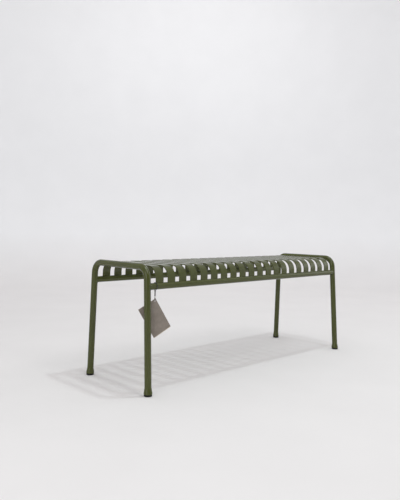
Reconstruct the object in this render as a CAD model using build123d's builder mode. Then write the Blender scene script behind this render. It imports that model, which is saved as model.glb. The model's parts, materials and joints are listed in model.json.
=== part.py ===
"""Backless outdoor bench: two bent-tube end frames, two rails, twenty flat-bar slats, and a hang tag.

Millimetres. +X runs along the bench, +Z is up, and the origin is on the floor, under the middle.
The front rail, which carries the tag, is on the -Y side.
"""
from build123d import *
import math
import os

# ---- Driving dimensions -------------------------------------------------------------------
SEAT_HEIGHT = 450.0          # top face of the slats
END_SPACING = 1175.0         # between the two end frames' planes

LEG_DIA = 25.0               # end frame tube
LEG_WALL = 2.0
FOOT_HALF = 185.5            # leg axis from the middle, at the floor
TOP_HALF = 166.5             # leg axis from the middle, at the height of the top tube
TOP_Z = 447.5                # axis of the end frame's top tube
BEND_RADIUS = 43.0           # of the tube's axis

RAIL_DIA = 24.0
RAIL_WALL = 2.0
RAIL_Z = 378.0

SLAT_COUNT = 20
SLAT_WIDTH = 35.0
SLAT_THICKNESS = 4.0
SLAT_BEND = 46.0             # outer radius of the slat's two bends
SLAT_EDGE = 0.6              # rounding of the rolled bar's long edges

GLIDE_HEIGHT = 7.0
GLIDE_RADIUS = 14.75
FLARE_RADIUS = 15.65         # the foot is widest here
FLARE_Z = 11.0
FLARE_TOP = 29.0             # where the flare meets the plain tube
FLARE_EDGE_R = 5.0           # rounding of its widest edge
GLIDE_EDGE_R = 2.0           # rounding of the glide's edge on the floor
GLIDE_LIP_R = 0.5            # and of its edge under the foot

BEAD_SIZE = 2.2              # leg length of the weld beads
BEAD_END_GAP = 2.0           # a slat's bead stops short of the slat's edges
BEAD_SHIFT = (-0.4, 0.2)     # middle of a slat's bead from the corner that it fills

CORD_DIA = 2.2
CORD_GAP = 0.3               # between the cord and what it goes round, or turns under
KNOT_DROP = 16.0             # knot below the rail's axis
CRIMP_DROP = 37.8            # middle of the crimp below the rail's axis
STRAND_HALF = 1.2            # the two strands hang side by side
TAG_X = -551.8               # the tag's cord lies beside the first slat
# Route of the tag's cord from the rail's axis: up one strand, round the rail, and down the other.
TAG_ROUTE = [
    (-STRAND_HALF, 0, -CRIMP_DROP), (-STRAND_HALF, 0, -KNOT_DROP),
    (-1.0, -12.4, -7.9), (-0.6, -14.1, 4.2), (-0.2, -6.1, 13.4),
    (0.2, 6.1, 13.4), (0.6, 14.1, 4.2), (1.0, 12.4, -7.9),
    (STRAND_HALF, 0, -KNOT_DROP), (STRAND_HALF, 0, -CRIMP_DROP),
]
KNOT_FOLD_R = 4.0            # the cord folds tightly into its knot
KNOT_SAG = 0.5               # the knot's middle lies just below the strands' meeting point
KNOT_SIZE = (3.2, 2.8)       # radius and half height
CRIMP_SIZE = (2.9, 2.8)      # radius and half height
TAG_HEADING = -19.5          # the card's right side is turned forward, clear of the leg
CARD_LENGTH = 117.5
CARD_WIDTH = 74.0
CARD_THICKNESS = 0.8
CARD_CORNER_R = 1.2
CARD_LEAF_GAP = 0.4          # between the two cards
BACK_CARD_LONGER = 3.0       # the back card shows below the front one
HOLE_INSET = 6.0             # from both edges of the corner
HOLE_DIA = 5.0
HOLE_Z = 326.4

# ---- Worked out from them -----------------------------------------------------------------
UNDER_FLOOR = 10.0           # cutting cores start this far below the floor
LEG_R = LEG_DIA / 2
RAIL_R = RAIL_DIA / 2
CORD_R = CORD_DIA / 2
END_X = END_SPACING / 2
PITCH = END_SPACING / (SLAT_COUNT + 1)
SPLAY = (FOOT_HALF - TOP_HALF) / TOP_Z
RAIL_Y = FOOT_HALF - SPLAY * RAIL_Z
SLAT_OUT = RAIL_Y + SLAT_THICKNESS / 2
SLAT_IN = RAIL_Y - SLAT_THICKNESS / 2
SLAT_X = [PITCH * (i + 1) - END_X for i in range(SLAT_COUNT)]

os.makedirs("parts", exist_ok=True)


def save(part, name):
    """Label a finished piece and write it as its own STEP file."""
    part.label = name
    export_step(part, f"parts/{name}.step")


# ---- Legs: the slanted planes and cores that the other pieces are fitted to ------------------
def leg_plane(x, side):
    """Plane through a leg's axis: local X points outward, local Y up along the leg."""
    up = Vector(0, -side * SPLAY, 1).normalized()
    out = Vector(0, side, SPLAY).normalized()
    return Plane(origin=(x, side * FOOT_HALF, 0), x_dir=out, z_dir=out.cross(up))


def leg_core(x, side, radius):
    """Solid round bar on a leg's axis, from under the floor to just below the bend."""
    plane = leg_plane(x, side)
    start = plane.from_local_coords((0, -UNDER_FLOOR, 0))
    with BuildPart() as core:
        with BuildSketch(Plane(origin=start, z_dir=plane.y_dir)):
            Circle(radius)
        extrude(amount=TOP_Z - BEND_RADIUS)
    return core.part


def rail_core(side, radius):
    """Solid round bar on a rail's axis, from one end frame's plane to the other's."""
    with BuildPart() as core:
        with BuildSketch(Plane.YZ.offset(-END_X)):
            with Locations((side * RAIL_Y, RAIL_Z)):
                Circle(radius)
        extrude(amount=END_SPACING)
    return core.part


# ---- End frames: one bent tube each, with flared feet --------------------------------------
def foot_flare(x, side):
    """Flared collar at the bottom of a leg, turned about the leg's axis."""
    plane = leg_plane(x, side)
    bore = LEG_R - LEG_WALL
    with BuildPart() as flare:
        with BuildSketch(plane) as profile:
            with BuildLine():
                Polyline(
                    (bore, 0), (GLIDE_RADIUS, 0), (FLARE_RADIUS, FLARE_Z),
                    (LEG_R, FLARE_TOP), (bore, FLARE_TOP), close=True,
                )
            make_face()
            fillet(profile.vertices().sort_by(Axis.X)[-1], radius=FLARE_EDGE_R)
        revolve(axis=Axis(plane.origin, plane.y_dir))
    return flare.part


def end_frame(x):
    """Inverted U of round tube, cut level above its glides."""
    with BuildPart() as frame:
        with BuildLine(Plane.YZ.offset(x)):
            axis_line = FilletPolyline(
                (-FOOT_HALF, 0), (-TOP_HALF, TOP_Z), (TOP_HALF, TOP_Z), (FOOT_HALF, 0),
                radius=BEND_RADIUS,
            )
        with BuildSketch(Plane(origin=axis_line @ 0, z_dir=axis_line % 0)):
            Circle(LEG_R)
            Circle(LEG_R - LEG_WALL, mode=Mode.SUBTRACT)
        sweep()
        add(foot_flare(x, -1))
        add(foot_flare(x, 1))
        split(bisect_by=Plane.XY.offset(GLIDE_HEIGHT), keep=Keep.TOP)
    return frame.part


for name, x in (("left_end_frame", -END_X), ("right_end_frame", END_X)):
    save(end_frame(x), name)


# ---- Rails: tubes coped onto the legs --------------------------------------------------------
def rail(side):
    """Tube between the legs, its ends cut to the legs' round backs."""
    with BuildPart() as tube:
        add(rail_core(side, RAIL_R))
        add(rail_core(side, RAIL_R - RAIL_WALL), mode=Mode.SUBTRACT)
        add(leg_core(-END_X, side, LEG_R), mode=Mode.SUBTRACT)
        add(leg_core(END_X, side, LEG_R), mode=Mode.SUBTRACT)
    return tube.part


for name, side in (("front_rail", -1), ("back_rail", 1)):
    save(rail(side), name)


# ---- Slats: flat bar bent down at both ends and seated on the rails --------------------------
with BuildPart() as slat_form:
    with BuildSketch(Plane.YZ):
        for half_width, top, radius, mode in (
            (SLAT_OUT, SEAT_HEIGHT, SLAT_BEND, Mode.ADD),
            (SLAT_IN, SEAT_HEIGHT - SLAT_THICKNESS, SLAT_BEND - SLAT_THICKNESS, Mode.SUBTRACT),
        ):
            with BuildLine():
                FilletPolyline(
                    (-half_width, RAIL_Z), (-half_width, top), (half_width, top), (half_width, RAIL_Z),
                    radius=radius,
                )
                Line((half_width, RAIL_Z), (-half_width, RAIL_Z))
            make_face(mode=mode)
    extrude(amount=SLAT_WIDTH / 2, both=True)
    rims = slat_form.faces().filter_by(Axis.X)
    long_edges = rims.edges().filter_by(lambda edge: edge.center().Z > RAIL_Z + RAIL_R)
    fillet(long_edges, radius=SLAT_EDGE)
    add(rail_core(-1, RAIL_R), mode=Mode.SUBTRACT)
    add(rail_core(1, RAIL_R), mode=Mode.SUBTRACT)

for number, x in enumerate(SLAT_X, start=1):
    with BuildPart() as slat:
        with Locations((x, 0, 0)):
            add(slat_form.part)
    save(slat.part, f"slat_{number:02d}")

# ---- Glides: plastic caps with a ribbed plug inside each leg ---------------------------------
PLUG_SLACK = 0.2             # between the ribs and the tube's bore
RIB_DEPTH = 1.3
PLUG_R = LEG_R - LEG_WALL - PLUG_SLACK
PLUG_CORE_R = PLUG_R - RIB_DEPTH
PLUG_TOP = 34.0
PLUG_CHAMFER = 2.0
PLUG_ROOT = GLIDE_HEIGHT - 2  # the plug starts inside the disc
RIB_ROOT = PLUG_CORE_R - 1    # and each rib inside the plug
PLUG_RIBS = [12.0, 19.0, 26.0]
RIB_HEIGHT = 3.0


def glide(x, side):
    """Level disc under the foot, and a plug that slants with the leg."""
    plane = leg_plane(x, side)
    with BuildPart() as cap:
        with BuildSketch(Plane.XY):
            with Locations((x, side * (FOOT_HALF - SPLAY * GLIDE_HEIGHT))):
                Circle(GLIDE_RADIUS)
        extrude(amount=GLIDE_HEIGHT)
        fillet(cap.edges().group_by(Axis.Z)[0], radius=GLIDE_EDGE_R)
        fillet(cap.edges().group_by(Axis.Z)[-1], radius=GLIDE_LIP_R)
        with BuildSketch(plane):
            with BuildLine():
                Polyline(
                    (0, PLUG_ROOT), (PLUG_CORE_R, PLUG_ROOT),
                    (PLUG_CORE_R, PLUG_TOP - PLUG_CHAMFER), (PLUG_CORE_R - PLUG_CHAMFER, PLUG_TOP),
                    (0, PLUG_TOP), close=True,
                )
            make_face()
            for rib in PLUG_RIBS:
                with BuildLine():
                    Polyline(
                        (RIB_ROOT, rib), (PLUG_R, rib), (PLUG_R, rib + RIB_HEIGHT / 2),
                        (RIB_ROOT, rib + RIB_HEIGHT), close=True,
                    )
                make_face()
        revolve(axis=Axis(plane.origin, plane.y_dir))
    return cap.part


for end_name, x in (("left", -END_X), ("right", END_X)):
    for side_name, side in (("front", -1), ("back", 1)):
        save(glide(x, side), f"glide_{end_name}_{side_name}")


# ---- Weld beads --------------------------------------------------------------------------
def rail_bead(x, side):
    """Ring of weld metal where a rail's end meets a leg."""
    with BuildPart() as bead:
        add(rail_core(side, RAIL_R + BEAD_SIZE))
        add(leg_core(x, side, LEG_R + BEAD_SIZE), mode=Mode.INTERSECT)
        add(leg_core(x, side, LEG_R), mode=Mode.SUBTRACT)
        add(rail_core(side, RAIL_R), mode=Mode.SUBTRACT)
    return bead.part


with BuildPart() as rail_weld_beads:
    for x in (-END_X, END_X):
        for side in (-1, 1):
            add(rail_bead(x, side))
save(rail_weld_beads.part, "rail_weld_beads")

SLAT_SEAT_Z = RAIL_Z + math.sqrt(RAIL_R**2 - (SLAT_THICKNESS / 2) ** 2)

with BuildPart() as slat_bead:
    with BuildSketch(Plane.YZ):
        with Locations((SLAT_IN + BEAD_SHIFT[0], SLAT_SEAT_Z + BEAD_SHIFT[1])):
            Circle(BEAD_SIZE)
    extrude(amount=SLAT_WIDTH / 2 - BEAD_END_GAP, both=True)
    add(rail_core(1, RAIL_R), mode=Mode.SUBTRACT)
    add(slat_form.part, mode=Mode.SUBTRACT)
    inner_side = slat_bead.solids().sort_by(Axis.Y)[0]

with BuildPart() as slat_weld_beads:
    with Locations(*[(x, 0, 0) for x in SLAT_X]):
        add(inner_side)
    mirror(about=Plane.XZ)
save(slat_weld_beads.part, "slat_weld_beads")

# ---- Hang tag: cord round the front rail, knot, crimp, loop and two cards ----------------------
HITCH = Vector(TAG_X, -RAIL_Y, RAIL_Z)
ARC_SHARE = 0.45             # share of the shorter run that a cord's arc takes up


def arc_radii(route, tight):
    """Largest tidy arc at each corner of a route, or the stated one where the cord folds tightly."""
    points = [Vector(*point) for point in route]
    radii = []
    for i in range(1, len(points) - 1):
        before = points[i] - points[i - 1]
        after = points[i + 1] - points[i]
        half_turn = math.radians(before.get_angle(after) / 2)
        widest = ARC_SHARE * min(before.length, after.length) / math.tan(half_turn)
        radii.append(tight.get(i, widest))
    return radii


def cord(route, radii):
    """Round cord along straight runs joined by tangent arcs."""
    with BuildPart() as tube:
        with BuildLine():
            path = FilletPolyline(*route, radius=radii)
        with BuildSketch(Plane(origin=path @ 0, z_dir=path % 0)):
            Circle(CORD_R)
        sweep()
    length = path.length
    print("cord radii", [round(radius, 1) for radius in radii], "length", round(length, 1))
    print("volume over section times length", round(tube.part.volume / (math.pi * CORD_R**2 * length), 4))
    return tube.part


ring_points = [tuple(HITCH + Vector(*point)) for point in TAG_ROUTE]
ring_folds = {1: KNOT_FOLD_R, len(ring_points) - 2: KNOT_FOLD_R}
save(cord(ring_points, arc_radii(ring_points, ring_folds)), "tag_cord")


BARREL_ROUNDING = 0.45       # edge radius over the barrel's radius


def barrel(drop, size):
    """Small rounded barrel on the tag's hanging line, this far below the rail's axis."""
    radius, half_height = size
    with BuildPart() as body:
        with Locations(HITCH - Vector(0, 0, drop)):
            Cylinder(radius, 2 * half_height)
        fillet(body.edges().filter_by(GeomType.CIRCLE), radius=BARREL_ROUNDING * radius)
    return body.part


save(barrel(KNOT_DROP + KNOT_SAG, KNOT_SIZE), "tag_knot")
save(barrel(CRIMP_DROP, CRIMP_SIZE), "tag_crimp")

# The cards hang from a corner, so their long edge leans by the angle of the holes' diagonal.
across = CARD_WIDTH / 2 - HOLE_INSET
along = CARD_LENGTH / 2 - HOLE_INSET
LEAN = math.degrees(math.atan2(across, along))
HANG = math.hypot(across, along)
heading = math.radians(TAG_HEADING)
card_right = Vector(math.cos(heading), math.sin(heading), 0)
card_front = Vector(math.sin(heading), -math.cos(heading), 0)
hole_point = Vector(TAG_X, -RAIL_Y, HOLE_Z)
CARD_PLANE = Plane(origin=hole_point, x_dir=card_right, z_dir=card_front)


def card(nearer_face, length):
    """Card with a punched corner; its face that looks forward lies nearer_face before the middle."""
    longer = length - CARD_LENGTH
    centre = Location((0, -HANG, 0), (0, 0, LEAN))
    with BuildPart() as leaf:
        with BuildSketch(CARD_PLANE.offset(nearer_face)):
            with Locations(centre * Location((0, -longer / 2, 0))):
                RectangleRounded(CARD_WIDTH, length, CARD_CORNER_R)
            Circle(HOLE_DIA / 2, mode=Mode.SUBTRACT)
        extrude(amount=-CARD_THICKNESS)
    return leaf.part


save(card(CARD_LEAF_GAP / 2 + CARD_THICKNESS, CARD_LENGTH), "tag_front_card")
save(card(-CARD_LEAF_GAP / 2, CARD_LENGTH + BACK_CARD_LONGER), "tag_back_card")

LOOP_FOLD_R = 2.2            # the loop folds tightly through the hole
LOOP_NECK = 4.0              # the strands spread over this length below the crimp
LOOP_HALF = CARD_LEAF_GAP / 2 + CARD_THICKNESS + CORD_GAP + CORD_R
loop_low = HOLE_DIA / 2 - CORD_R - CORD_GAP
loop_high = RAIL_Z - CRIMP_DROP - CRIMP_SIZE[1] - CORD_GAP - HOLE_Z
loop_local = [
    (0, loop_high, STRAND_HALF), (0, loop_high - LOOP_NECK, LOOP_HALF), (0, loop_low, LOOP_HALF),
    (0, loop_low, -LOOP_HALF), (0, loop_high - LOOP_NECK, -LOOP_HALF), (0, loop_high, -STRAND_HALF),
]
loop_points = [tuple(CARD_PLANE.from_local_coords(point)) for point in loop_local]
loop_folds = {2: LOOP_FOLD_R, 3: LOOP_FOLD_R}
save(cord(loop_points, arc_radii(loop_points, loop_folds)), "tag_loop")
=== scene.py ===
"""Looks of a backless bench in olive powder-coated steel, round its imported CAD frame. Metres, +Z up."""
import bpy
import bmesh
import json
import math
from mathutils import Matrix, Vector


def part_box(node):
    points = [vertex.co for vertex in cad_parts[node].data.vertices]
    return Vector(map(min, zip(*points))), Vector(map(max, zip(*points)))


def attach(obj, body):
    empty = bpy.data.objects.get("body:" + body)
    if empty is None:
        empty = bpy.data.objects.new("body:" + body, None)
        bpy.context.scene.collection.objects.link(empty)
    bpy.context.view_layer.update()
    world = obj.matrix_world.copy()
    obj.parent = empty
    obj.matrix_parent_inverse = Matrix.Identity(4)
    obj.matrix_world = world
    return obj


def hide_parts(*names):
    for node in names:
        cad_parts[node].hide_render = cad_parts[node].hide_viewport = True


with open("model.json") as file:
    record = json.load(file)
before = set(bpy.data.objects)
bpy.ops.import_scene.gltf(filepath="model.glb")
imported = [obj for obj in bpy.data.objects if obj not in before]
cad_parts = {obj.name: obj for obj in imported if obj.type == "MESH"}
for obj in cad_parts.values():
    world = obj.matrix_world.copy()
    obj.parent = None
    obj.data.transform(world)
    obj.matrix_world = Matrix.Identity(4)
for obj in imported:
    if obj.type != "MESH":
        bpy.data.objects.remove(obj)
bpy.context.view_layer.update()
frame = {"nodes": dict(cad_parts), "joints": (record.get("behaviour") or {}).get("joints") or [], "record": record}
nodes = frame["nodes"]
scene = bpy.context.scene

# ---- Camera: where the photographer stood -------------------------------------------------
CAMERA_PLACE = Vector((-1.8068, -1.7145, 0.5912))
CAMERA_YAW = math.radians(43.582)       # from +Y towards +X
CAMERA_PITCH = math.radians(2.546)      # above the horizon
CAMERA_ROLL = math.radians(0.908)
LENS_MM = 39.59
SENSOR_MM = 36.0
SHIFT_UP = -0.0939

# ---- The hang tag's cord, in metres from the rail's axis at the cord ------------------------
CORD_DIA = 0.0022
CORD_ROUTE = [
    (-0.0012, 0.0000, -0.0378), (-0.0012, 0.0000, -0.0190), (-0.0012, 0.0000, -0.0160),
    (-0.0010, -0.0124, -0.0079), (-0.0006, -0.0141, 0.0042), (-0.0002, -0.0061, 0.0134),
    (0.0002, 0.0061, 0.0134), (0.0006, 0.0141, 0.0042), (0.0010, 0.0124, -0.0079),
    (0.0012, 0.0000, -0.0160), (0.0012, 0.0000, -0.0190), (0.0012, 0.0000, -0.0378),
]

# ---- The hang tag's cards ----------------------------------------------------------------------
CARD_HEADING = math.radians(-19.5)      # the card's right side is turned forward
CARD_BOW = 0.0013                       # how far the card curls back at BOW_REACH from its hanging line
BOW_REACH = 0.050
CARD_STRIP = 0.004                      # spacing of the cuts that let the card curl
CARD_FOOT_Z = 0.20                      # the bow is whole down here
BOW_AT_HOLE = 0.4                       # and this much of it at the hole's height
CARD_CREASE = math.radians(35)          # a card's edges that turn by more than this stay sharp
MERGE_DISTANCE = 1e-6
CUT_DISTANCE = 1e-7

# ---- Sizes, from the frame where it gives them --------------------------------------------------
rail_low, rail_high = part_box("front_rail")
leg_low, leg_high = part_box("right_end_frame")
joints = {joint["name"]: joint for joint in frame["joints"]}
HITCH = Vector(joints["tag_swing"]["pos_m"])
RAIL_R = (rail_high.z - rail_low.z) / 2
RAIL_Y = -HITCH.y                       # the tag's hitch is on the front rail's axis
RAIL_Z = HITCH.z
LEG_R = 0.0125
END_X = (leg_low.x + leg_high.x) / 2
FOOT_HALF = 0.1855                      # leg axis from the middle, at the floor
TOP_HALF = 0.1665                       # leg axis from the middle, at the height of the top tube
TOP_Z = 0.4475                          # axis of the end frame's top tube
SPLAY = (FOOT_HALF - TOP_HALF) / TOP_Z  # how far a leg leans outward, per unit of height
SLAT_THICKNESS = 0.004
SLAT_IN = RAIL_Y - SLAT_THICKNESS / 2
SLAT_SEAT_Z = RAIL_Z + math.sqrt(RAIL_R**2 - (SLAT_THICKNESS / 2) ** 2)
SLAT_NAMES = sorted(name for name in nodes if name.removeprefix("slat_").isdigit())


# ---- Small helpers ------------------------------------------------------------------------------
def link(piece):
    """Put a new object into the scene."""
    scene.collection.objects.link(piece)
    return piece


def mesh_piece(name, verts, faces):
    """New smooth-shaded mesh object from points and faces, with its normals facing outward."""
    data = bpy.data.meshes.new(name)
    data.from_pydata([tuple(v) for v in verts], [], faces)
    bm = bmesh.new()
    bm.from_mesh(data)
    bmesh.ops.recalc_face_normals(bm, faces=bm.faces)
    bm.to_mesh(data)
    bm.free()
    data.shade_smooth()
    return link(bpy.data.objects.new(name, data))


def nurbs(name, points, radius):
    """Round cord along a smooth curve that has these control points."""
    data = bpy.data.curves.new(name, "CURVE")
    data.dimensions = "3D"
    data.resolution_u = 12
    data.bevel_depth = radius
    data.bevel_resolution = 6
    data.use_fill_caps = True
    spline = data.splines.new("NURBS")
    spline.points.add(len(points) - 1)
    for target, point in zip(spline.points, points):
        target.co = (*point, 1)
    spline.order_u = 3
    spline.use_endpoint_u = True
    return link(bpy.data.objects.new(name, data))


# ---- Materials -----------------------------------------------------------------------------------
class Look:
    """A node material, built up one node at a time round a Principled shader."""

    def __init__(self, name):
        """Start from a plain material; patterns follow the object coordinates."""
        self.material = bpy.data.materials.new(name)
        self.material.use_nodes = True
        self.tree = self.material.node_tree
        self.shader = self.tree.nodes["Principled BSDF"]
        self.place = self.node("ShaderNodeTexCoord").outputs["Object"]

    def node(self, kind, **settings):
        """Add a node with these settings."""
        made = self.tree.nodes.new(kind)
        for key, value in settings.items():
            setattr(made, key, value)
        return made

    def wire(self, source, target):
        """Link an output to an input."""
        self.tree.links.new(source, target)

    def shade(self, source, socket):
        """Link an output to one of the shader's inputs."""
        self.wire(source, self.shader.inputs[socket])

    def set(self, **values):
        """Set the shader's own sockets; an underscore stands for a space in a socket's name."""
        for key, value in values.items():
            self.shader.inputs[key.replace("_", " ")].default_value = value

    def coordinates(self):
        """The X, Y and Z object coordinates."""
        made = self.node("ShaderNodeSeparateXYZ")
        self.wire(self.place, made.inputs["Vector"])
        return made.outputs

    def noise(self, scale, detail=2.0, roughness=0.5, vector=None):
        """Noise from 0 to 1, with about this many features to a unit of the vector: by default, a metre."""
        made = self.node("ShaderNodeTexNoise")
        made.inputs["Scale"].default_value = scale
        made.inputs["Detail"].default_value = detail
        made.inputs["Roughness"].default_value = roughness
        self.wire(vector or self.place, made.inputs["Vector"])
        return made.outputs["Fac"]

    def stretched(self, scales):
        """Object coordinates scaled by a number for each axis."""
        made = self.node("ShaderNodeMapping")
        made.inputs["Scale"].default_value = scales
        self.wire(self.place, made.inputs["Vector"])
        return made.outputs["Vector"]

    def ramp(self, source, stops):
        """Colour from a value, by stops of a place and a colour."""
        made = self.node("ShaderNodeValToRGB")
        elements = made.color_ramp.elements
        for element, (place, colour) in zip(elements, stops):
            element.position = place
            element.color = (*colour, 1)
        self.wire(source, made.inputs["Fac"])
        return made.outputs["Color"]

    def between(self, source, low, high):
        """A value from 0 to 1 spread between low and high."""
        made = self.node("ShaderNodeMapRange")
        made.inputs["To Min"].default_value = low
        made.inputs["To Max"].default_value = high
        self.wire(source, made.inputs["Value"])
        return made.outputs["Result"]

    def share(self, source, none, whole, shape="LINEAR"):
        """0 where the source is at none, 1 where it is at whole."""
        made = self.node("ShaderNodeMapRange", interpolation_type=shape)
        made.inputs["From Min"].default_value = none
        made.inputs["From Max"].default_value = whole
        self.wire(source, made.inputs["Value"])
        return made.outputs["Result"]

    def mix(self, share, first, second):
        """The first colour where the share is 0, the second where it is 1."""
        made = self.node("ShaderNodeMix", data_type="RGBA")
        self.wire(first, made.inputs["A"])
        self.wire(second, made.inputs["B"])
        self.wire(share, made.inputs["Factor"])
        return made.outputs["Result"]

    def multiply(self, first, second):
        """Two colours multiplied."""
        made = self.node("ShaderNodeMix", data_type="RGBA", blend_type="MULTIPLY")
        self.wire(first, made.inputs["A"])
        self.wire(second, made.inputs["B"])
        made.inputs["Factor"].default_value = 1.0
        return made.outputs["Result"]

    def bump(self, height, strength, distance, below=None):
        """Surface relief from a height, on top of any relief below it."""
        made = self.node("ShaderNodeBump")
        made.inputs["Strength"].default_value = strength
        made.inputs["Distance"].default_value = distance
        self.wire(height, made.inputs["Height"])
        if below is not None:
            self.wire(below, made.inputs["Normal"])
        return made.outputs["Normal"]


def grey(value):
    """Neutral colour."""
    return (value, value, value)


BLACK = grey(0.0)
WHITE = grey(1.0)


def powder_coat():
    """Olive satin powder coat: fine grain over orange peel, and faint mottling."""
    look = Look("olive_powder_coat")
    mottle = look.noise(7.0, detail=4.0, roughness=0.55)
    colour = look.ramp(mottle, [(0.30, (0.052, 0.061, 0.0065)), (0.70, (0.060, 0.070, 0.0085))])
    grain = look.noise(2600.0, roughness=0.6)
    speck = look.ramp(grain, [(0.25, grey(0.86)), (0.75, WHITE)])
    look.shade(look.multiply(colour, speck), "Base Color")
    look.shade(look.between(look.noise(60.0, detail=3.0), low=0.20, high=0.26), "Roughness")
    peel = look.bump(look.noise(420.0), strength=0.10, distance=0.0005)
    fine = look.bump(grain, strength=0.10, distance=0.0002, below=peel)
    look.shade(fine, "Normal")
    look.set(Specular_IOR_Level=0.5)
    return look.material


SCUFF_TOP = 0.0022                      # a glide is scuffed from this height down,
SCUFF_WHOLE = 0.0004                    # and all over below this one


def glide_plastic():
    """Black moulded plastic with a fine spark-eroded texture, scuffed grey underneath."""
    look = Look("black_glide_plastic")
    rubbed = look.share(look.coordinates()["Z"], none=SCUFF_TOP, whole=SCUFF_WHOLE)
    clean = look.ramp(
        look.noise(300.0, detail=3.0), [(0.3, grey(0.004)), (0.8, (0.009, 0.009, 0.008))],
    )
    scuff = look.ramp(
        look.noise(700.0, detail=4.0), [(0.4, grey(0.008)), (0.7, (0.03, 0.029, 0.028))],
    )
    look.shade(look.mix(rubbed, clean, scuff), "Base Color")
    look.shade(look.between(look.noise(500.0), low=0.45, high=0.65), "Roughness")
    look.shade(look.bump(look.noise(1800.0), strength=0.3, distance=0.0002), "Normal")
    look.set(Specular_IOR_Level=0.3)
    return look.material


def cord_fibre():
    """Black twisted cotton: slanting strands and a soft sheen."""
    look = Look("black_cord")
    wave = look.node("ShaderNodeTexWave", wave_type="BANDS", bands_direction="DIAGONAL")
    wave.inputs["Scale"].default_value = 420.0
    wave.inputs["Distortion"].default_value = 1.5
    wave.inputs["Detail"].default_value = 2.0
    look.wire(look.place, wave.inputs["Vector"])
    strands = wave.outputs["Fac"]
    colour = look.ramp(strands, [(0.2, (0.006, 0.006, 0.008)), (0.9, (0.030, 0.030, 0.034))])
    look.shade(colour, "Base Color")
    look.shade(look.bump(strands, strength=0.6, distance=0.0004), "Normal")
    look.set(Roughness=0.85, Sheen_Weight=0.3)
    return look.material


def crimp_plastic():
    """Pale moulded plastic, faintly mottled."""
    look = Look("pale_crimp")
    colour = look.ramp(look.noise(500.0), [(0.3, (0.62, 0.61, 0.58)), (0.7, (0.74, 0.73, 0.70))])
    look.shade(colour, "Base Color")
    look.shade(look.bump(look.noise(900.0), strength=0.2, distance=0.0002), "Normal")
    look.set(Roughness=0.35)
    return look.material


def card_board(name, dark, light):
    """Uncoated board: short fibres, mottling and a few flecks."""
    look = Look(name)
    mottle = look.ramp(look.noise(45.0, detail=5.0, roughness=0.6), [(0.3, dark), (0.7, light)])
    upright = look.stretched((2200.0, 2200.0, 500.0))
    fibre = look.noise(1.0, detail=4.0, roughness=0.7, vector=upright)
    streak = look.ramp(fibre, [(0.3, grey(0.84)), (0.7, WHITE)])
    board = look.multiply(mottle, streak)
    fleck = look.ramp(look.noise(900.0, detail=1.0), [(0.70, WHITE), (0.76, (0.6, 0.58, 0.55))])
    look.shade(look.multiply(board, fleck), "Base Color")
    look.shade(look.bump(fibre, strength=0.3, distance=0.0003), "Normal")
    look.set(Roughness=0.85, Specular_IOR_Level=0.3)
    return look.material


FLOOR_DARK = (0.795, 0.78, 0.78)
FLOOR_LIGHT = (0.815, 0.80, 0.80)
WALL_DARK = (0.75, 0.755, 0.77)
WALL_LIGHT = (0.77, 0.775, 0.79)
# painted light: the pale wall glows by this strength, standing in for light falling on it
WALL_GLOW = 0.12
WALL_Z = 0.5                            # the floor's colour turns into the wall's up to this height
# painted shade: the cove's -X -Y side, in front of the bench, is painted grey to stand in for an unlit front of
# the studio
SHADE_GREY_DARK = grey(0.33)
SHADE_GREY_LIGHT = grey(0.35)
SHADE_GREY_FROM = -1.5                        # the wall turns into painted shade grey where X + Y goes from here
SHADE_GREY_TO = -4.5                          # to here


def plain_floor():
    """Pale matt studio floor that curves up into a pale wall with a faint painted glow, and painted shade in grey
    on the -X -Y side.
    """
    look = Look("studio_floor")
    place = look.coordinates()
    wall = look.share(place["Z"], none=0.0, whole=WALL_Z)
    across = look.node("ShaderNodeMath", operation="ADD")
    look.wire(place["X"], across.inputs[0])
    look.wire(place["Y"], across.inputs[1])
    # painted shade: the share of the wall that is painted grey, growing towards -X -Y
    painted_shade_side = look.share(across.outputs["Value"], none=SHADE_GREY_FROM, whole=SHADE_GREY_TO, shape="SMOOTHSTEP")
    cloud = look.noise(3.0, detail=4.0)
    floor_tone = look.ramp(cloud, [(0.3, FLOOR_DARK), (0.7, FLOOR_LIGHT)])
    pale_tone = look.ramp(cloud, [(0.3, WALL_DARK), (0.7, WALL_LIGHT)])
    painted_shade_tone = look.ramp(cloud, [(0.3, SHADE_GREY_DARK), (0.7, SHADE_GREY_LIGHT)])
    wall_tone = look.mix(painted_shade_side, pale_tone, painted_shade_tone)
    look.shade(look.mix(wall, floor_tone, wall_tone), "Base Color")
    # painted light: the glow covers the pale wall only, not the floor or the painted-shade side
    not_painted_shade = look.ramp(painted_shade_side, [(0.0, WHITE), (1.0, BLACK)])
    not_floor = look.ramp(wall, [(0.0, BLACK), (1.0, WHITE)])
    look.shade(look.multiply(not_painted_shade, not_floor), "Emission Color")
    look.set(Roughness=0.9, Specular_IOR_Level=0.1, Emission_Strength=WALL_GLOW)
    return look.material


LOOKS = {
    "olive_powder_coat": powder_coat(),
    "black_glide_plastic": glide_plastic(),
    "black_cord": cord_fibre(),
    "pale_crimp": crimp_plastic(),
    "grey_card": card_board("grey_card", dark=(0.25, 0.217, 0.188), light=(0.33, 0.288, 0.25)),
    "tan_card": card_board("tan_card", dark=(0.56, 0.48, 0.39), light=(0.66, 0.58, 0.48)),
}
for subpart in frame["record"]["subparts"]:
    for material_slot in nodes[subpart["node"]].material_slots:
        material_slot.material = LOOKS[subpart["material_slot"]]


def dress(piece, slot, body, *replaced):
    """Give a new piece its material from the slot and its body, and hide the CAD nodes that it stands for."""
    piece.data.materials.clear()
    piece.data.materials.append(LOOKS[slot])
    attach(piece, body)
    if replaced:
        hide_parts(*replaced)
    return piece


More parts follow.
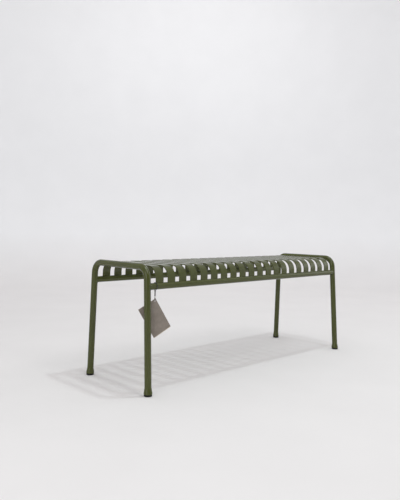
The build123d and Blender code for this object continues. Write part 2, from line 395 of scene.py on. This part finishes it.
# ---- Camera -----------------------------------------------------------------------------------------
def add_camera():
    """Camera at the photographer's place, turned by its yaw, pitch and roll."""
    forward = Vector((
        math.sin(CAMERA_YAW) * math.cos(CAMERA_PITCH),
        math.cos(CAMERA_YAW) * math.cos(CAMERA_PITCH),
        math.sin(CAMERA_PITCH),
    ))
    level = Vector((math.cos(CAMERA_YAW), -math.sin(CAMERA_YAW), 0))
    upright = level.cross(forward)
    right = math.cos(CAMERA_ROLL) * level + math.sin(CAMERA_ROLL) * upright
    up = math.cos(CAMERA_ROLL) * upright - math.sin(CAMERA_ROLL) * level
    turn = Matrix((right, up, -forward)).transposed()
    data = bpy.data.cameras.new("camera")
    data.lens = LENS_MM
    data.sensor_width = SENSOR_MM
    data.sensor_fit = "AUTO"
    data.shift_y = SHIFT_UP
    camera = link(bpy.data.objects.new("camera", data))
    camera.matrix_world = Matrix.Translation(CAMERA_PLACE) @ turn.to_4x4()
    scene.camera = camera


add_camera()

# ---- The tag's knot, crimp, cord and loop -------------------------------------------------------
KNOT_DROP = 0.0165                      # knot's middle below the rail's axis
KNOT_HALF = 0.0031                      # from the knot's middle to the outside of its turns
KNOT_LOBE = (KNOT_HALF - CORD_DIA / 2) / 3      # the turns' middle line reaches out by 3 of these
KNOT_DEPTH = 1.7                        # and this many to the front and back
KNOT_PRESSED = 0.9                      # height against width
KNOT_POINTS = 48
CRIMP_DROP = 0.0378                     # crimp's middle below the rail's axis
CRIMP_R = 0.0029
CRIMP_HALF = 0.0028                     # half its height
CRIMP_END = 0.62                        # radius of its end faces, against CRIMP_R
CRIMP_WAIST = 0.91                      # and at its middle
CRIMP_EDGE = 3.2                        # the larger, the tighter its rims are rounded
CRIMP_PRESSED = 0.88                    # depth against width
CRIMP_SIDES = 32
CRIMP_STEPS = 20


def tie_knot():
    """The three crossed turns of an overhand knot, as a closed trefoil."""
    data = bpy.data.curves.new("tag_knot_turns", "CURVE")
    data.dimensions = "3D"
    data.bevel_depth = CORD_DIA / 2
    data.bevel_resolution = 5
    spline = data.splines.new("POLY")
    spline.points.add(KNOT_POINTS - 1)
    for i, target in enumerate(spline.points):
        angle = 2 * math.pi * i / KNOT_POINTS
        sideways = KNOT_LOBE * (math.sin(angle) + 2 * math.sin(2 * angle))
        forward = KNOT_LOBE * KNOT_DEPTH * math.sin(3 * angle)
        rise = KNOT_LOBE * KNOT_PRESSED * (math.cos(angle) - 2 * math.cos(2 * angle))
        target.co = (HITCH.x + sideways, HITCH.y - forward, HITCH.z - KNOT_DROP + rise, 1)
    spline.use_cyclic_u = True
    return dress(link(bpy.data.objects.new(data.name, data)), "black_cord", "tag_hitch", "tag_knot")


def press_crimp():
    """Moulded bead, waisted between two rims and pressed a little flat."""
    middle = HITCH - Vector((0, 0, CRIMP_DROP))
    verts = [middle - Vector((0, 0, CRIMP_HALF))]
    for i in range(CRIMP_STEPS + 1):
        height = -1 + 2 * i / CRIMP_STEPS
        rim = math.sqrt(min(1.0, CRIMP_EDGE * (1 - abs(height))))
        radius = CRIMP_R * (CRIMP_END + (1 - CRIMP_END) * rim)
        radius *= CRIMP_WAIST + (1 - CRIMP_WAIST) * height * height
        for k in range(CRIMP_SIDES):
            angle = 2 * math.pi * k / CRIMP_SIDES
            x = radius * math.cos(angle)
            y = CRIMP_PRESSED * radius * math.sin(angle)
            verts.append(middle + Vector((x, y, CRIMP_HALF * height)))
    verts.append(middle + Vector((0, 0, CRIMP_HALF)))
    top = len(verts) - 1
    top_ring = 1 + CRIMP_STEPS * CRIMP_SIDES
    faces = []
    for k in range(CRIMP_SIDES):
        following = (k + 1) % CRIMP_SIDES
        faces.append((0, 1 + following, 1 + k))
        faces.append((top, top_ring + k, top_ring + following))
        for i in range(CRIMP_STEPS):
            lower = 1 + i * CRIMP_SIDES
            upper = lower + CRIMP_SIDES
            faces.append((lower + k, lower + following, upper + following, upper + k))
    return dress(mesh_piece("tag_crimp_bead", verts, faces), "pale_crimp", "tag_hitch", "tag_crimp")


knot = tie_knot()
crimp = press_crimp()
cord_points = [HITCH + Vector(point) for point in CORD_ROUTE]
tag_cord = nurbs("tag_cord_line", cord_points, CORD_DIA / 2)
dress(tag_cord, "black_cord", "tag_hitch", "tag_cord")

# ---- The tag's loop and cards -----------------------------------------------------------------------
card_right = Vector((math.cos(CARD_HEADING), math.sin(CARD_HEADING), 0))
card_front = Vector((math.sin(CARD_HEADING), -math.cos(CARD_HEADING), 0))
HOLE_Z = 0.3264                         # middle of the cards' punched hole
HOLE = Vector((HITCH.x, HITCH.y, HOLE_Z))
LOOP_OUT = 0.0024                       # from the cards' middle plane to the loop's strands
LOOP_TOP = 0.0105                       # top of the loop above the hole
# Route of the loop: height above the hole's middle, and distance forward from the cards' middle plane.
LOOP_ROUTE = [
    (LOOP_TOP, 0.0012), (LOOP_TOP - 0.004, LOOP_OUT), (0.003, LOOP_OUT), (0.0011, 0.0019),
    (0.0007, 0.0), (0.0011, -0.0019), (0.003, -LOOP_OUT), (LOOP_TOP - 0.004, -LOOP_OUT), (LOOP_TOP, -0.0012),
]
loop = nurbs("tag_loop_line", [
    HOLE + Vector((0, 0, rise)) + card_front * forward for rise, forward in LOOP_ROUTE
], CORD_DIA / 2)
dress(loop, "black_cord", "tag", "tag_loop")


def curl_card(node, name, slot):
    """A card's own outline, cut into strips and curled back on both sides of its hanging line."""
    bm = bmesh.new()
    bm.from_mesh(nodes[node].data)
    bmesh.ops.remove_doubles(bm, verts=bm.verts, dist=MERGE_DISTANCE)
    reach = [(vert.co - HOLE).dot(card_right) for vert in bm.verts]
    cut = math.ceil(min(reach) / CARD_STRIP) * CARD_STRIP
    while cut < max(reach):
        bmesh.ops.bisect_plane(
            bm, geom=bm.verts[:] + bm.edges[:] + bm.faces[:],
            plane_co=HOLE + card_right * cut, plane_no=card_right, dist=CUT_DISTANCE,
        )
        cut += CARD_STRIP
    for vert in bm.verts:
        away = (vert.co - HOLE).dot(card_right) / BOW_REACH
        drop = max(0.0, HOLE.z - vert.co.z) / (HOLE.z - CARD_FOOT_Z)
        bow = CARD_BOW * (BOW_AT_HOLE + (1 - BOW_AT_HOLE) * drop)
        vert.co -= card_front * bow * away * away
    data = bpy.data.meshes.new(name)
    bm.to_mesh(data)
    bm.free()
    data.shade_smooth()
    data.set_sharp_from_angle(angle=CARD_CREASE)
    return dress(link(bpy.data.objects.new(name, data)), slot, "tag", node)


curl_card("tag_front_card", "front_card_board", "grey_card")
curl_card("tag_back_card", "back_card_board", "tan_card")

# ---- Weld beads ---------------------------------------------------------------------------------------
BEAD_R = 0.0022
BEAD_SIDES = 10
BEAD_TIP = 0.35                         # radius of an open bead's ends, against its own,
BEAD_TAPER = 5                          # and the rings over which it grows to the whole
RIPPLE = 0.0019                         # pitch of the ripples that a weld pool leaves
RIPPLE_DEPTH = 0.16                     # of a bead's radius
RIPPLE_SLANT = 0.25                     # how far a ripple lags across a bead, in pitches
RAIL_WELD_RINGS = 200
SLAT_WELD_RINGS = 64
SLAT_WELD_SHIFT = 0.0002                # middle of a slat's bead, inward and up from the corner it fills
SLAT_WELD_INSET = 0.002                 # a slat's bead stops short of the slat's edges


def bead_rings(path, across, upright, closed):
    """Rings of a rippled bead along a path; each ring lies in its own plane of two directions."""
    rings = len(path)
    verts = []
    travelled = 0.0
    for i, point in enumerate(path):
        if i:
            travelled += (point - path[i - 1]).length
        from_end = min(i, rings - 1 - i)
        grown = 1.0 if closed else min(1.0, BEAD_TIP + (1 - BEAD_TIP) * math.sqrt(from_end / BEAD_TAPER))
        for k in range(BEAD_SIDES):
            angle = 2 * math.pi * k / BEAD_SIDES
            ripple = (travelled / RIPPLE + RIPPLE_SLANT * math.cos(angle)) % 1.0
            size = BEAD_R * grown * (1 - RIPPLE_DEPTH * ripple)
            verts.append(point + size * (math.cos(angle) * across[i] + math.sin(angle) * upright[i]))
    faces = []
    for i in range(rings if closed else rings - 1):
        here = i * BEAD_SIDES
        after = (i + 1) % rings * BEAD_SIDES
        for k in range(BEAD_SIDES):
            following = (k + 1) % BEAD_SIDES
            faces.append((here + k, here + following, after + following, after + k))
    if not closed:
        faces.append(tuple(range(BEAD_SIDES)))
        faces.append(tuple(range((rings - 1) * BEAD_SIDES, rings * BEAD_SIDES))[::-1])
    return verts, faces


def rail_weld(name, end, side):
    """Rippled bead round a rail's end, along the curve where it meets the leg."""
    path = []
    outward = []
    for i in range(RAIL_WELD_RINGS):
        angle = 2 * math.pi * i / RAIL_WELD_RINGS
        y = RAIL_R * math.cos(angle)
        z = RAIL_R * math.sin(angle)
        from_leg_axis = (y + z * side * SPLAY) / math.sqrt(1 + SPLAY**2)
        x = end * (END_X - math.sqrt(LEG_R**2 - from_leg_axis**2))
        path.append(Vector((x, side * RAIL_Y + y, RAIL_Z + z)))
        outward.append(Vector((0, y, z)).normalized())
    along = [Vector((-end, 0, 0))] * RAIL_WELD_RINGS
    verts, faces = bead_rings(path, outward, along, closed=True)
    return mesh_piece(name, verts, faces)


def slat_weld(name, x_low, x_high, side):
    """Rippled bead along the inner face of a slat's end, on top of the rail."""
    y = side * (SLAT_IN - SLAT_WELD_SHIFT)
    z = SLAT_SEAT_Z + SLAT_WELD_SHIFT
    path = []
    for i in range(SLAT_WELD_RINGS):
        path.append(Vector((x_low + (x_high - x_low) * i / (SLAT_WELD_RINGS - 1), y, z)))
    across = [Vector((0, side, 0))] * SLAT_WELD_RINGS
    upright = [Vector((0, 0, 1))] * SLAT_WELD_RINGS
    verts, faces = bead_rings(path, across, upright, closed=False)
    return mesh_piece(name, verts, faces)


def join(name, pieces):
    """One object out of several meshes."""
    bm = bmesh.new()
    for piece in pieces:
        bm.from_mesh(piece.data)
        bpy.data.objects.remove(piece)
    data = bpy.data.meshes.new(name)
    bm.to_mesh(data)
    bm.free()
    return link(bpy.data.objects.new(name, data))


rail_beads = []
for end in (-1, 1):
    for side in (-1, 1):
        rail_beads.append(rail_weld(f"rail_weld_{end}_{side}", end, side))
dress(join("rail_welds", rail_beads), "olive_powder_coat", "bench", "rail_weld_beads")

slat_beads = []
for slat_name in SLAT_NAMES:
    slat_low, slat_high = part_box(slat_name)
    bead_from = slat_low.x + SLAT_WELD_INSET
    bead_to = slat_high.x - SLAT_WELD_INSET
    for side in (-1, 1):
        slat_beads.append(slat_weld(f"{slat_name}_{side}", bead_from, bead_to, side))
dress(join("slat_welds", slat_beads), "olive_powder_coat", "bench", "slat_weld_beads")

# ---- Stage and light ----------------------------------------------------------------------------------
COVE_RADIUS = 4.4
COVE_BEND = 1.3                         # radius of the curve from floor to wall
COVE_HEIGHT = 4.0
COVE_SIDES = 128
COVE_BEND_STEPS = 16
WORLD_COLOUR = (1.015, 0.995, 0.995)
WORLD_STRENGTH = 0.78
LIGHTS = [
    # name, place, what it points at, diameter, power in watts, colour
    ("overhead", (0.05, -0.5, 2.7), (0, 0, 0), 0.20, 11, (0.88, 1.0, 1.0)),
    ("front_softbox", (-0.2, -2.3, 3.0), (0, 0, 0.3), 1.6, 22, WHITE),
    ("left_panel", (-3.2, -1.0, 1.2), (0, 0, 0.2), 2.0, 24, WHITE),
    ("right_panel", (3.4, -1.3, 1.2), (0, 0, 0.2), 2.0, 9, WHITE),
    ("wall_wash", (1.5, 1.7, 3.4), (2.93, 3.27, 1.9), 1.6, 15, WHITE),
]


def add_cove():
    """Floor that curves up into a wall all round."""
    profile = [(COVE_RADIUS - COVE_BEND, 0.0)]
    for i in range(1, COVE_BEND_STEPS + 1):
        angle = math.pi / 2 * i / COVE_BEND_STEPS
        out = COVE_RADIUS - COVE_BEND + COVE_BEND * math.sin(angle)
        profile.append((out, COVE_BEND - COVE_BEND * math.cos(angle)))
    profile.append((COVE_RADIUS, COVE_HEIGHT))
    verts = [(0, 0, 0)]
    for radius, height in profile:
        for k in range(COVE_SIDES):
            angle = 2 * math.pi * k / COVE_SIDES
            verts.append((radius * math.cos(angle), radius * math.sin(angle), height))
    faces = []
    for k in range(COVE_SIDES):
        following = (k + 1) % COVE_SIDES
        faces.append((0, 1 + k, 1 + following))
        for ring in range(len(profile) - 1):
            lower = 1 + ring * COVE_SIDES
            upper = lower + COVE_SIDES
            faces.append((lower + k, upper + k, upper + following, lower + following))
    cove = mesh_piece("studio_cove", verts, faces)
    cove.data.materials.append(plain_floor())


def add_area_light(name, place, target, size, power, colour):
    """Round area light that points at a target and is hidden from the camera."""
    data = bpy.data.lights.new(name, "AREA")
    data.color = colour
    data.shape = "DISK"
    data.size = size
    data.energy = power
    lamp = link(bpy.data.objects.new(name, data))
    lamp.location = place
    lamp.visible_camera = False
    lamp.rotation_euler = (Vector(target) - Vector(place)).to_track_quat("-Z", "Y").to_euler()


def add_world(colour, strength):
    """Even light from all round."""
    world = bpy.data.worlds.new("studio_world")
    world.use_nodes = True
    background = world.node_tree.nodes["Background"]
    background.inputs["Color"].default_value = (*colour, 1)
    background.inputs["Strength"].default_value = strength
    scene.world = world


add_cove()
add_world(WORLD_COLOUR, WORLD_STRENGTH)
for light in LIGHTS:
    add_area_light(*light)
scene.view_settings.view_transform = "Standard"
